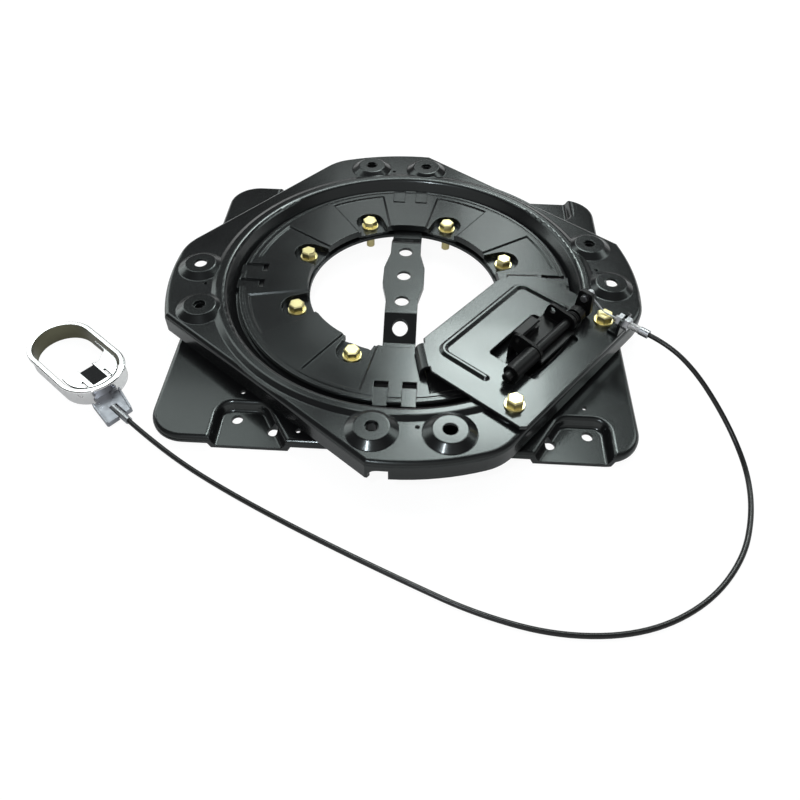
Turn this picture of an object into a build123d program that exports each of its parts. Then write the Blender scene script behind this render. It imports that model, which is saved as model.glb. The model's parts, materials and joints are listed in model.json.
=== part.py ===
"""Swivel seat base: a seat plate turning on a fixed floor plate, locked by a cable-released pawl."""

import os
from math import atan2, cos, degrees, hypot, pi, radians, sin, sqrt, tan

from build123d import *

os.makedirs("parts", exist_ok=True)

# Floor plate
base_width = 388.0
base_depth = 354.0
base_corner = 30.0
base_sheet = 3.0
field_height = 11.0
rim_clearance = 5.0
field_edge = 4.5
opening_step = 1.0
plateau_height = 20.8
plateau_over = 1.5
plateau_run = 12.0
plateau_bend = 7.0
plateau_lap = 8.0

# Bolt pads pressed down at the corners of the floor plate
pad_inset = 82.0
pad_shift = 14.0
pad_front = 54.0
pad_back = 33.0
pad_depth = 36.0
pad_corner = 9.0
pad_overrun = 12.0
pad_wall_angle = 25.0
pad_rim_round = 4.5
pad_foot_round = 3.5
edge_slack = 0.01
pad_hole = 9.0
pad_hole_inner = (43.8, 16.2)
pad_hole_outer = (12.8, 27.0)
drain_hole = 4.0
drain_behind = (14.0, 50.0)
drain_beside = (65.0, 12.0)

# Clamp ring
ring_width = 61.5
ring_sheet = 3.0
ring_step = 1.5
ring_sectors = 8
sector_inset = 8.5
sector_slope = 45.0
ring_flange = 6.5
ring_edge = 1.2
groove_inset = 4.5
groove_width = 2.0
groove_depth = 0.6
bolt_inset = 13.0
pocket_radius = 13.5
pocket_wall = 2.5
lock_sides = 4
lock_offset = 11.3
lock_width = 11.5
slit_inset = 22.5
slit_width = 5.0
tongue_drop = 2.0
tongue_reach = 2.0
tongue_gap = 0.1

# Bearing stack between the plates
glide_thick = 1.5
glide_gap = 0.1
glide_inset = 3.5
collar_thick = 1.4
collar_gap = 0.3
flange_width = 30.5

# Flange bolts and nuts
bolt_size = 8.0
bolt_clear = 0.4
hex_flats = 12.0
head_height = 8.4
head_chamfer = 1.0
flange_radius = 8.0
flange_thick = 1.6
ring_bolt_length = 22.0
lock_bolt_length = 18.0
nut_height = 6.5
nut_bore_gap = 0.05

# Centre strap
strap_sheet = 2.5
strap_height = 37.0
strap_drop = 37.0
strap_run = 24.0
strap_lap = 23.0
strap_bend = 6.0
strap_mid_half = 18.5
strap_end_half = 14.0
strap_mid_share = 0.22
strap_neck_share = 0.64
strap_flange = 6.0
strap_hole = 12.6
strap_pitch_share = 0.7
slope_hole = 13.5
slope_hole_down = 12.0

# Seat plate, drawn in its own axes
seat_turn = -38.46
seat_sheet = 2.5
seat_height = 36.0
skirt_depth = 18.0
seat_reach = 212.0
seat_length = 374.0
seat_width = 352.8
seat_band = 63.5
side_band = 27.9
end_band = 38.5
seat_shoulder = 45.0
seat_edge = 4.5
wall_gap = 4.0
wall_run = 7.5
lip_flat = 6.5
lip_run = 5.0
lip_rise = 2.0
lip_lap = 3.5
lip_bend = 3.5
notch_width = 12.5
notch_gap = 1.4
notch_drop = 8.5
notch_round = 7.0
notch_reach = 18.0
boss_toe = 20.6
boss_land = 13.6
boss_rise = 4.6
boss_top_round = 2.0
boss_toe_round = 1.5
press_angle = 50.0
boss_side = 25.8
boss_fixed_inset = 30.73
boss_open_inset = 26.77
boss_open_angle = 37.98
boss_hole = 11.6
boss_thread = 10.5
pin_hole = 3.5
pin_inset = 34.87
pin_angle = 45.34
weld_nut_flats = 17.0
weld_nut_height = 8.0
weld_nut_bore = 8.5

# Lock plate
lock_sheet = 3.0
lock_lift = 2.2
lock_length = 118.0
lock_half = 79.0
lock_inner_half = 54.0
lock_slant = 29.0
lock_corner = 4.0
lock_edge = 0.8
window_lead = 7.5
window_length = 46.5
window_half = 32.0
window_corner = 4.0
bead_inset = 19.0
bead_half = 56.0
bead_length = 46.0
bead_width = 7.0
bead_rise = 2.2
bead_corner = 8.0
lock_bolt_inset = 19.5
lock_bolt_half = 64.0
lock_pad_toe = 15.0
tab_length = 27.0
tab_out = 6.5
tab_drop = 7.0
tab_bend = 5.5

# Latch
pivot_inset = 37.0
pivot_height = 49.0
shaft_size = 8.0
shaft_fit = 0.05
bearing_radius = 7.0
bearing_near = 46.0
bearing_far = 43.0
bearing_length = 7.0
bearing_gap = 0.6
saddle_half = 5.0
saddle_length = 12.0
shaft_over = 7.0
shaft_edge = 0.8
pawl_sheet = 3.0
tooth_play = 1.0
block_top = 57.0
block_depth = 9.0
block_half = 13.0
block_edge = 1.0
web_top = 44.6
web_sheet = 2.4
web_over = 9.0
web_far = 31.5
cheek_near = -16.0
cheek_far = 36.0
hub_radius = 7.5
eye_radius = 5.4
eye_size = 5.8
eye_back = 15.3
eye_rise = 4.3
tooth_width = 10.0
tooth_lift = 0.4
tooth_root = 37.5
spring_wire = 1.6
spring_turns = 2.5
spring_gap = 0.5
spring_clear = 1.0
spring_pitch = 1.9
arm_at = 56.0
arm_thick = 4.0
arm_half = 6.4
arm_low = 60.0
arm_top = 66.5
arm_corner = 3.0
arm_hub = 7.5

# Cable ends at the latch
wire_size = 1.6
wire_at = 63.0
nipple_lift = 12.0
nipple_size = 6.0
nipple_near = 53.5
nipple_far = 66.0
nipple_play = 0.7
adjuster_height = 51.0
adjuster_size = 6.0
adjuster_lead = 6.5
adjuster_length = 22.5
adjuster_bore = 2.4
wire_bend_run = 16.5
wire_bend = 10.0
wire_inset = 6.0
holder_inset = 3.0
holder_foot = 7.0
holder_sheet = 2.5
holder_half = 9.0
holder_rise = 15.5
holder_corner = 4.0
slot_play = 0.2
adjuster_nut_flats = 10.0
adjuster_nut_thick = 4.0
stop_size = 7.0
stop_length = 8.0

# Handle, drawn in axes along the seat plate's
handle_angle = 242.18
handle_clear = 0.9
handle_length = 100.0
handle_width = 57.0
handle_height = 16.0
rim_flare = 1.5
rim_thick = 3.0
handle_wall = 3.0
rim_round = 1.2
hinge_p = 38.0
hinge_height = 10.0
hinge_pin = 3.5
pin_end_gap = 0.8
knuckle_radius = 3.5
knuckle_half = 13.0
paddle_top = 14.5
paddle_sheet = 2.0
paddle_gap = 2.2
paddle_edge = [(-7.0, 27.0), (-5.0, 20.7), (10.5, 20.3), (19.0, 9.5), (16.0, 4.9), (16.5, -11.0), (16.2, -20.0), (10.0, -27.0)]
paddle_curve = 2.0
paddle_round = 1.0
slit_size = 1.8
slit_run = 12.0
slit_far = (36.0, 7.8)
slit_near = (36.0, -13.0)
pad_start = 14.0
pad_end = 40.0
pad_low = -8.3
pad_high = 4.9
pad_lead = 5.0
pad_recess = 0.5
cable_q = -8.0
cable_height = 4.0
tail_thick = 2.4
tail_half = 4.5
tail_low = 1.2
tail_slot = 2.4
tail_slot_top = 5.3
hook_gap = 0.3
hook_size = 4.4
hook_thick = 3.0
fork_inner = 43.0
fork_neck = 50.0
fork_root = 62.0
fork_end = 76.0
fork_neck_half = 6.0
fork_near_start = 11.0
fork_near_end = 14.5
fork_far_start = 15.0
fork_far_end = 9.0
fork_slot_half = 3.3
fork_thick = 4.0
fork_lip = 1.6
fork_lip_rise = 1.6
fork_round = 1.5
fork_fit = 0.1
ferrule_size = 6.0
ferrule_length = 22.0
ferrule_bore_length = 10.0
handle_wire_grip = 5.0

# Cable sheath
sheath_size = 4.0
floor_rest = 0.05
run_share = 0.45

# Places that follow from the plates
corner_reach = hypot(base_width / 2 - base_corner, base_depth / 2 - base_corner) + base_corner
pad_span = base_width - pad_inset
pad_hole_in = (pad_span / 2 - pad_hole_inner[0], base_depth / 2 - pad_hole_inner[1])
pad_hole_out = (pad_span / 2 - pad_hole_outer[0], base_depth / 2 - pad_hole_outer[1])
drain_back = (pad_span / 2 - drain_behind[0], base_depth / 2 - drain_behind[1])
drain_side = (pad_span / 2 - drain_beside[0], base_depth / 2 - drain_beside[1])
ring_outer = min(seat_reach - seat_band, seat_width / 2 - side_band, seat_length / 2 - end_band)
ring_inner = ring_outer - ring_width
base_opening = ring_inner - opening_step
plateau_radius = ring_outer + plateau_over
sector_outer = ring_outer - sector_inset
groove_radius = ring_outer - groove_inset
bolt_circle_radius = ring_inner + bolt_inset
slit_inner = ring_outer - slit_inset
slit_outer = slit_inner + slit_width
glide_outer = ring_outer - glide_inset
flange_inner = ring_outer - flange_width
wall_foot = ring_outer + wall_gap
lip_start = wall_foot + wall_run
lip_end = lip_start + lip_flat
lip_toe = lip_end + lip_run
strap_flat = ring_inner - strap_drop
strap_reach = ring_inner + strap_lap
strap_mid_flat = strap_mid_share * strap_flat
strap_neck = strap_neck_share * strap_flat
strap_pitch = strap_pitch_share * strap_flat
slope_hole_at = strap_flat + slope_hole_down
boss_fixed_v = seat_width / 2 - boss_side
boss_fixed = (sqrt((seat_reach - boss_fixed_inset) ** 2 - boss_fixed_v**2), boss_fixed_v)
boss_open_reach = seat_reach - boss_open_inset
boss_open = (boss_open_reach * cos(radians(boss_open_angle)), boss_open_reach * sin(radians(boss_open_angle)))
pin_reach = seat_reach - pin_inset
pin_at = (pin_reach * cos(radians(pin_angle)), pin_reach * sin(radians(pin_angle)))
lock_outer = ring_outer + end_band
lock_inner = lock_outer - lock_length
lock_cut = lock_inner + lock_slant
lock_bolt_at = (lock_outer - lock_bolt_inset, lock_bolt_half)
window_inner = slit_inner - window_lead
window_outer = window_inner + window_length
bead_inner = lock_inner + bead_inset
bead_end = bead_inner + bead_length
pivot_u = lock_outer - pivot_inset
pawl_front = slit_inner + tooth_play
eye_at = (pivot_u - eye_back, pivot_height + eye_rise)
holder_plate = lock_outer - holder_inset
holder_inner = holder_plate - holder_foot
adjuster_start = holder_plate - adjuster_lead
adjuster_end = adjuster_start + adjuster_length
wire_bend_at = pivot_u + wire_bend_run
wire_end = adjuster_end - wire_inset
handle_core = (handle_length - handle_width) / 2
handle_reach = corner_reach + handle_clear + handle_width / 2
handle_u = handle_reach * cos(radians(handle_angle)) - handle_core
handle_v = handle_reach * sin(radians(handle_angle))

# Heights that follow from the sheets and gaps
lower_glide_top = plateau_height + glide_thick
seat_flange_low = lower_glide_top + glide_gap
seat_flange_top = seat_flange_low + seat_sheet
upper_glide_low = seat_flange_top + glide_gap
ring_seat = upper_glide_low + glide_thick
ring_top = ring_seat + ring_sheet + ring_step
pocket_floor = plateau_height + ring_sheet
skirt_low = seat_height - skirt_depth
seat_under = seat_height - seat_sheet
lock_under = seat_height + lock_lift
lock_top = lock_under + lock_sheet
rim_inner = lip_toe + lip_lap / 2
sector_angle = 360.0 / ring_sectors
sheath_floor = sheath_size / 2 + floor_rest
base_underside = plateau_height - base_sheet
four_signs = [(1, 1), (-1, 1), (-1, -1), (1, -1)]

# Frames: the seat plate's own axes, and views across it
seat = Plane.XY.rotated((0, 0, seat_turn))


def seat_point(u, v, z):
    """A point given in the seat plate's axes."""
    return seat.from_local_coords(Vector(u, v, z))


def across(v):
    """Upright plane at v, looking along the latch shaft: local x is u, local y is height."""
    return Plane(origin=seat_point(0, v, 0), x_dir=seat.x_dir, z_dir=-seat.y_dir)


def facing(u):
    """Upright plane at u, looking outward: local x is v, local y is height."""
    return Plane(origin=seat_point(u, 0, 0), x_dir=seat.y_dir, z_dir=seat.x_dir)


def handle_level(height):
    """Level plane centred on the handle."""
    return Plane(origin=seat_point(handle_u, handle_v, height), x_dir=seat.x_dir, z_dir=(0, 0, 1))


def handle_across(q):
    """Upright plane along the handle at q: local x is p, local y is height."""
    return Plane(origin=seat_point(handle_u, handle_v + q, 0), x_dir=seat.x_dir, z_dir=-seat.y_dir)


def handle_facing(p):
    """Upright plane across the handle at p: local x is q, local y is height."""
    return Plane(origin=seat_point(handle_u + p, handle_v, 0), x_dir=seat.y_dir, z_dir=seat.x_dir)


def four_ways(point):
    """A point and its mirror images in both seat axes."""
    return [(su * point[0], sv * point[1]) for su, sv in four_signs]


def base_ways(point):
    """A pad point and its mirror images about the pads' own middle."""
    return [(pad_shift + sx * point[0], sy * point[1]) for sx, sy in four_signs]


def pad_shape(sx, sy):
    """Corners of one bolt pad's floor, open past the plate's edge."""
    outer = pad_shift + sx * pad_span / 2
    edge = sy * (base_depth / 2 + pad_overrun)
    back = sy * (base_depth / 2 - pad_depth)
    spread = (pad_front - pad_back) * (1 + pad_overrun / pad_depth)
    return [
        (outer, edge),
        (outer, back),
        (outer - sx * pad_back, back),
        (outer - sx * (pad_back + spread), edge),
    ]


def bolt_hex(flats):
    """Radius to the corners of a hexagon."""
    return flats / sqrt(3)


# Floor plate
def on_pad_wall(edge, height):
    """Whether an edge runs along a bolt pad's wall at a height, clear of the plate's own rim."""
    place = edge.center()
    reach_x = base_width / 2 - base_corner / 2
    reach_y = base_depth / 2 - 2 * field_edge
    near = base_depth / 2 - pad_depth - field_height
    level = abs(place.Z - height) < edge_slack
    return level and abs(place.X) < reach_x and near < abs(place.Y) < reach_y


with BuildPart() as tray_form:
    with BuildSketch(Plane.XY.offset(-base_sheet)):
        RectangleRounded(base_width, base_depth, base_corner)
    extrude(amount=field_height + base_sheet)
    fillet(tray_form.faces().sort_by(Axis.Z)[-1].outer_wire().edges(), radius=field_edge)

with BuildPart() as floor_plate:
    with BuildSketch(Plane.XY.offset(rim_clearance)):
        RectangleRounded(base_width, base_depth, base_corner)
    extrude(amount=field_height - rim_clearance)
    fillet(floor_plate.faces().sort_by(Axis.Z)[-1].outer_wire().edges(), radius=field_edge)
    offset(amount=-base_sheet, openings=floor_plate.faces().sort_by(Axis.Z)[0])
    with BuildSketch(Plane.XY):
        for sx, sy in four_signs:
            with BuildLine():
                Polyline(*pad_shape(sx, sy), close=True)
            make_face()
        offset(amount=base_sheet)
    extrude(amount=field_height, taper=-pad_wall_angle)
    with BuildSketch(Plane.XY.offset(-base_sheet)):
        Rectangle(2 * base_width, 2 * base_depth)
        RectangleRounded(base_width, base_depth, base_corner, mode=Mode.SUBTRACT)
    extrude(amount=field_height + 2 * base_sheet, mode=Mode.SUBTRACT)
    with BuildSketch(Plane.XY.offset(base_sheet)) as pockets:
        for sx, sy in four_signs:
            with BuildLine():
                Polyline(*pad_shape(sx, sy), close=True)
            make_face()
        fillet(pockets.vertices().filter_by(lambda point: abs(point.Y) < base_depth / 2), radius=pad_corner)
    extrude(amount=field_height, taper=-pad_wall_angle, mode=Mode.SUBTRACT)
    fillet(floor_plate.edges().filter_by(lambda edge: on_pad_wall(edge, field_height)), radius=pad_rim_round)
    fillet(floor_plate.edges().filter_by(lambda edge: on_pad_wall(edge, base_sheet)), radius=pad_foot_round)
    add(tray_form.part, mode=Mode.INTERSECT)
    with BuildSketch(Plane.XY):
        Circle(plateau_radius + plateau_run + plateau_lap / 2)
    extrude(amount=field_height, mode=Mode.SUBTRACT)
    with BuildSketch(Plane.XZ):
        with BuildLine():
            FilletPolyline(
                (base_opening, plateau_height - base_sheet / 2),
                (plateau_radius, plateau_height - base_sheet / 2),
                (plateau_radius + plateau_run, field_height - base_sheet / 2),
                (plateau_radius + plateau_run + plateau_lap, field_height - base_sheet / 2),
                radius=plateau_bend,
            )
        trace(line_width=base_sheet)
    revolve(axis=Axis.Z)
    with BuildSketch(Plane.XY):
        with Locations(*base_ways(pad_hole_in), *base_ways(pad_hole_out)):
            Circle(pad_hole / 2)
        with Locations(*base_ways(drain_back), *base_ways(drain_side)):
            Circle(drain_hole / 2)
        with PolarLocations(bolt_circle_radius, ring_sectors, sector_angle / 2):
            Circle((bolt_size + bolt_clear) / 2)
    extrude(amount=plateau_height + base_sheet, mode=Mode.SUBTRACT)
floor_plate.part.label = "floor_plate"
export_step(floor_plate.part, "parts/floor_plate.step")

# Clamp ring: stepped sectors, bolt pockets and lock windows
wedge_half = radians(sector_angle / 4)
wedge_long = 2 * ring_outer
wedge = [
    (0, 0),
    (wedge_long * cos(wedge_half), -wedge_long * sin(wedge_half)),
    (wedge_long * cos(wedge_half), wedge_long * sin(wedge_half)),
]
tongue_top = ring_top - tongue_drop
tongue_low = ring_seat + tongue_gap
with BuildPart() as clamp_ring:
    with BuildSketch(Plane.XY.offset(ring_seat)):
        Circle(ring_outer)
        Circle(ring_inner, mode=Mode.SUBTRACT)
    extrude(amount=ring_top - ring_seat)
    fillet(clamp_ring.faces().sort_by(Axis.Z)[-1].outer_wire().edges(), radius=ring_edge)
    with BuildSketch(Plane.XY.offset(ring_top)):
        with PolarLocations(0, ring_sectors, sector_angle / 2):
            Polygon(*wedge, align=None)
        Circle(sector_outer, mode=Mode.INTERSECT)
        Circle(ring_inner - 2 * ring_step, mode=Mode.SUBTRACT)
    extrude(amount=-ring_step, taper=sector_slope, mode=Mode.SUBTRACT)
    with BuildSketch(Plane.XY.offset(ring_seat)):
        with PolarLocations(0, ring_sectors):
            Polygon(*wedge, align=None)
        Circle(ring_outer + ring_step, mode=Mode.INTERSECT)
        Circle(ring_inner + ring_sheet, mode=Mode.SUBTRACT)
        Circle(ring_outer + ring_step)
        Circle(sector_outer, mode=Mode.SUBTRACT)
        with PolarLocations(0, ring_sectors):
            Polygon(*wedge, align=None)
        Circle(ring_outer + ring_step, mode=Mode.INTERSECT)
        Circle(ring_inner + ring_sheet, mode=Mode.SUBTRACT)
    extrude(amount=ring_step, mode=Mode.SUBTRACT)
    with BuildSketch(Plane.XY.offset(ring_top - ring_flange)):
        Circle(ring_inner + ring_sheet)
        Circle(ring_inner, mode=Mode.SUBTRACT)
    extrude(amount=ring_flange - ring_step)
    with BuildSketch(Plane.XY.offset(plateau_height)):
        with PolarLocations(bolt_circle_radius, ring_sectors, sector_angle / 2):
            Circle(pocket_radius + pocket_wall)
            Rectangle(bolt_circle_radius - ring_inner, 2 * (pocket_radius + pocket_wall), align=(Align.MAX, Align.CENTER))
        Circle(ring_inner, mode=Mode.SUBTRACT)
    extrude(amount=ring_seat + ring_step - plateau_height)
    with BuildSketch(Plane.XY.offset(pocket_floor)):
        with PolarLocations(bolt_circle_radius, ring_sectors, sector_angle / 2):
            Circle(pocket_radius)
            Rectangle(bolt_circle_radius - ring_inner + ring_sheet, 2 * pocket_radius, align=(Align.MAX, Align.CENTER))
    extrude(amount=ring_top, mode=Mode.SUBTRACT)
    with BuildSketch(Plane.XY):
        with PolarLocations(bolt_circle_radius, ring_sectors, sector_angle / 2):
            Circle((bolt_size + bolt_clear) / 2)
    extrude(amount=ring_top, mode=Mode.SUBTRACT)
    with BuildSketch(Plane.XY.offset(ring_top)):
        Circle(groove_radius + groove_width / 2)
        Circle(groove_radius - groove_width / 2, mode=Mode.SUBTRACT)
    extrude(amount=-groove_depth, mode=Mode.SUBTRACT)
    with BuildSketch(Plane.XY.offset(tongue_top)):
        with PolarLocations(0, lock_sides):
            with Locations((slit_inner, lock_offset), (slit_inner, -lock_offset)):
                Rectangle(ring_outer - slit_inner + tongue_reach, lock_width, align=(Align.MIN, Align.CENTER))
    extrude(amount=ring_top, mode=Mode.SUBTRACT)
    with BuildSketch(Plane.XY.offset(tongue_low)):
        with PolarLocations(0, lock_sides):
            with Locations((slit_outer, lock_offset), (slit_outer, -lock_offset)):
                Rectangle(ring_outer - slit_outer + tongue_reach, lock_width, align=(Align.MIN, Align.CENTER))
    extrude(amount=tongue_top - tongue_low)
    with BuildSketch(Plane.XY):
        with PolarLocations(0, lock_sides):
            with Locations((slit_inner, lock_offset), (slit_inner, -lock_offset)):
                Rectangle(slit_outer - slit_inner, lock_width, align=(Align.MIN, Align.CENTER))
    extrude(amount=2 * ring_top, mode=Mode.SUBTRACT)
clamp_ring.part.label = "clamp_ring"
export_step(clamp_ring.part, "parts/clamp_ring.step")

# Ring bolts
with BuildPart() as ring_bolts:
    with BuildSketch(Plane.XY.offset(pocket_floor)):
        with PolarLocations(bolt_circle_radius, ring_sectors, sector_angle / 2):
            RegularPolygon(bolt_hex(hex_flats), 6)
    extrude(amount=head_height)
    chamfer(ring_bolts.faces().filter_by(Axis.Z).group_by(Axis.Z)[-1].edges(), length=head_chamfer)
    with BuildSketch(Plane.XY.offset(pocket_floor)):
        with PolarLocations(bolt_circle_radius, ring_sectors, sector_angle / 2):
            Circle(flange_radius)
    extrude(amount=flange_thick)
    with BuildSketch(Plane.XY.offset(pocket_floor)):
        with PolarLocations(bolt_circle_radius, ring_sectors, sector_angle / 2):
            Circle(bolt_size / 2)
    extrude(amount=-ring_bolt_length)
ring_bolts.part.label = "ring_bolts"
export_step(ring_bolts.part, "parts/ring_bolts.step")

# Ring nuts under the plateau
with BuildPart() as ring_nuts:
    with BuildSketch(Plane.XY.offset(base_underside)):
        with PolarLocations(bolt_circle_radius, ring_sectors, sector_angle / 2):
            RegularPolygon(bolt_hex(hex_flats), 6)
    extrude(amount=-nut_height)
    with BuildSketch(Plane.XY.offset(base_underside)):
        with PolarLocations(bolt_circle_radius, ring_sectors, sector_angle / 2):
            Circle(flange_radius)
    extrude(amount=-flange_thick)
    with BuildSketch(Plane.XY):
        with PolarLocations(bolt_circle_radius, ring_sectors, sector_angle / 2):
            Circle(bolt_size / 2 + nut_bore_gap)
    extrude(amount=base_underside, mode=Mode.SUBTRACT)
ring_nuts.part.label = "ring_nuts"
export_step(ring_nuts.part, "parts/ring_nuts.step")

# Lower glide with its centring collar
collar_outer = flange_inner - collar_gap
with BuildPart() as lower_glide:
    with BuildSketch(Plane.XY.offset(plateau_height)):
        Circle(glide_outer)
        Circle(collar_outer - collar_thick, mode=Mode.SUBTRACT)
    extrude(amount=glide_thick)
    with BuildSketch(Plane.XY.offset(plateau_height)):
        Circle(collar_outer)
        Circle(collar_outer - collar_thick, mode=Mode.SUBTRACT)
    extrude(amount=seat_flange_top - plateau_height)
lower_glide.part.label = "lower_glide"
export_step(lower_glide.part, "parts/lower_glide.step")

# Upper glide
with BuildPart() as upper_glide:
    with BuildSketch(Plane.XY.offset(upper_glide_low)):
        Circle(glide_outer)
        Circle(flange_inner, mode=Mode.SUBTRACT)
    extrude(amount=glide_thick)
upper_glide.part.label = "upper_glide"
export_step(upper_glide.part, "parts/upper_glide.step")

# Centre strap
strap_plan = [
    (strap_mid_half, -strap_mid_flat),
    (strap_mid_half, strap_mid_flat),
    (strap_end_half, strap_neck),
    (strap_end_half, strap_reach),
    (-strap_end_half, strap_reach),
    (-strap_end_half, strap_neck),
    (-strap_mid_half, strap_mid_flat),
    (-strap_mid_half, -strap_mid_flat),
    (-strap_end_half, -strap_neck),
    (-strap_end_half, -strap_reach),
    (strap_end_half, -strap_reach),
    (strap_end_half, -strap_neck),
]
strap_foot = plateau_height + strap_sheet / 2
strap_mid = strap_height - strap_sheet / 2
with BuildPart() as centre_strap:
    with BuildSketch(Plane.YZ):
        with BuildLine():
            FilletPolyline(
                (-strap_reach, strap_foot),
                (-strap_flat - strap_run, strap_foot),
                (-strap_flat, strap_mid),
                (strap_flat, strap_mid),
                (strap_flat + strap_run, strap_foot),
                (strap_reach, strap_foot),
                radius=strap_bend,
            )
        trace(line_width=strap_sheet)
    extrude(amount=2 * strap_mid_half, both=True)
    with BuildSketch(Plane.XY.offset(strap_height - strap_flange)):
        Rectangle(2 * strap_mid_half, 2 * (strap_flat - strap_bend))
        with BuildLine():
            Polyline(*strap_plan, close=True)
        make_face(mode=Mode.INTERSECT)
        Rectangle(2 * (strap_mid_half - strap_sheet), 2 * strap_mid_flat, mode=Mode.SUBTRACT)
        Rectangle(2 * (strap_end_half - strap_sheet), 2 * strap_flat, mode=Mode.SUBTRACT)
    extrude(amount=strap_flange - strap_sheet / 2)
    with BuildSketch(Plane.XY) as plan:
        with BuildLine():
            Polyline(*strap_plan, close=True)
        make_face()
        fillet(plan.vertices().filter_by(lambda point: abs(point.Y) < strap_flat), radius=strap_bend)
    extrude(amount=2 * strap_height, mode=Mode.INTERSECT)
    with BuildSketch(Plane.XY):
        with Locations((0, 0), (0, strap_pitch), (0, -strap_pitch)):
            Circle(strap_hole / 2)
        with Locations((0, slope_hole_at), (0, -slope_hole_at)):
            Circle(slope_hole / 2)
    extrude(amount=2 * strap_height, mode=Mode.SUBTRACT)
centre_strap.part.label = "centre_strap"
export_step(centre_strap.part, "parts/centre_strap.step")

# Seat plate
boss_points = four_ways(boss_fixed) + four_ways(boss_open)
lock_bolts_at = [(lock_bolt_at[0], lock_bolt_at[1]), (lock_bolt_at[0], -lock_bolt_at[1])]
shoulder_v = sqrt(seat_reach**2 - (seat_length / 2) ** 2)
tip_u = sqrt(seat_reach**2 - (seat_width / 2) ** 2)
notch_mid = tip_u + notch_gap + notch_width / 2
boss_angle = degrees(atan2(boss_toe - boss_land, boss_rise))
boss_under_toe = seat_sheet * tan(radians(90 - boss_angle) / 2)
under_toe = seat_sheet * tan(radians(90 - press_angle) / 2)
boss_lap = boss_toe_round * tan(radians(90 - boss_angle) / 2) + edge_slack
with BuildPart() as boss_form:
    with BuildSketch(Plane.XZ) as boss_side_view:
        with BuildLine():
            Polyline(
                (0, seat_height - seat_sheet / 2),
                (boss_toe + boss_lap, seat_height - seat_sheet / 2),
                (boss_toe + boss_lap, seat_height),
                (boss_toe, seat_height),
                (boss_land, seat_height + boss_rise),
                (0, seat_height + boss_rise),
                close=True,
            )
        make_face()
        fillet(
            boss_side_view.vertices().filter_by(lambda point: abs(point.X - boss_toe) < edge_slack),
            radius=boss_toe_round,
        )
        fillet(
            boss_side_view.vertices().filter_by(lambda point: abs(point.X - boss_land) < edge_slack),
            radius=boss_top_round,
        )
    revolve(axis=Axis.Z)

with BuildPart() as seat_plate:
    with BuildSketch(seat.offset(skirt_low)) as seat_outline:
        Circle(seat_reach)
        Rectangle(seat_length, seat_width, mode=Mode.INTERSECT)
        fillet(
            seat_outline.vertices().filter_by(lambda point: abs(abs(point.Y) - shoulder_v) < seat_sheet),
            radius=seat_shoulder,
        )
    extrude(amount=skirt_depth)
    fillet(seat_plate.faces().sort_by(Axis.Z)[-1].outer_wire().edges(), radius=seat_edge)
    offset(amount=-seat_sheet, openings=seat_plate.faces().sort_by(Axis.Z)[0])
    with BuildSketch(seat):
        Circle(rim_inner)
    extrude(amount=2 * seat_height, mode=Mode.SUBTRACT)
    with BuildSketch(Plane.XZ):
        with BuildLine():
            FilletPolyline(
                (flange_inner, seat_flange_low + seat_sheet / 2),
                (wall_foot, seat_flange_low + seat_sheet / 2),
                (lip_start, seat_height - seat_sheet / 2 + lip_rise),
                (lip_end, seat_height - seat_sheet / 2 + lip_rise),
                (lip_toe, seat_height - seat_sheet / 2),
                (lip_toe + lip_lap, seat_height - seat_sheet / 2),
                radius=lip_bend,
            )
        trace(line_width=seat_sheet)
    revolve(axis=Axis.Z)
    add([boss_form.part.moved(Location(seat_point(u, v, 0))) for u, v in boss_points])
    with BuildSketch(seat.offset(seat_height)):
        with Locations(*lock_bolts_at):
            Circle(lock_pad_toe)
    extrude(amount=lock_lift, taper=press_angle)
    with BuildSketch(seat.offset(seat_under)):
        with Locations(*boss_points):
            Circle(boss_toe - boss_under_toe)
    extrude(amount=boss_rise, taper=boss_angle, mode=Mode.SUBTRACT)
    with BuildSketch(seat.offset(seat_under)):
        with Locations(*lock_bolts_at):
            Circle(lock_pad_toe - under_toe)
    extrude(amount=lock_lift, taper=press_angle, mode=Mode.SUBTRACT)
    with BuildSketch(seat):
        with Locations(*four_ways(boss_fixed)):
            Circle(boss_thread / 2)
        with Locations(*four_ways(boss_open)):
            Circle(boss_hole / 2)
        with Locations(*four_ways(pin_at)):
            Circle(pin_hole / 2)
        with Locations(*lock_bolts_at):
            Circle((bolt_size + bolt_clear) / 2)
    extrude(amount=2 * seat_height, mode=Mode.SUBTRACT)
    for notch_v in (seat_width / 2 + notch_gap, notch_reach - seat_width / 2):
        with BuildSketch(across(notch_v)) as notch:
            with Locations((notch_mid, seat_height - notch_drop), (-notch_mid, seat_height - notch_drop)):
                Rectangle(notch_width, skirt_depth, align=(Align.CENTER, Align.MAX))
            fillet(
                notch.vertices().filter_by(lambda point: point.Y > skirt_low and abs(point.X) < notch_mid),
                radius=notch_round,
            )
        extrude(amount=notch_reach + notch_gap, mode=Mode.SUBTRACT)
seat_plate.part.label = "seat_plate"
export_step(seat_plate.part, "parts/seat_plate.step")

# Weld nuts under four bosses
boss_under = seat_under + boss_rise
with BuildPart() as weld_nuts:
    with BuildSketch(seat.offset(boss_under)):
        with Locations(*four_ways(boss_fixed)):
            RegularPolygon(bolt_hex(weld_nut_flats), 6)
            Circle(weld_nut_bore / 2, mode=Mode.SUBTRACT)
    extrude(amount=-weld_nut_height)
weld_nuts.part.label = "weld_nuts"
export_step(weld_nuts.part, "parts/weld_nuts.step")

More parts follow.
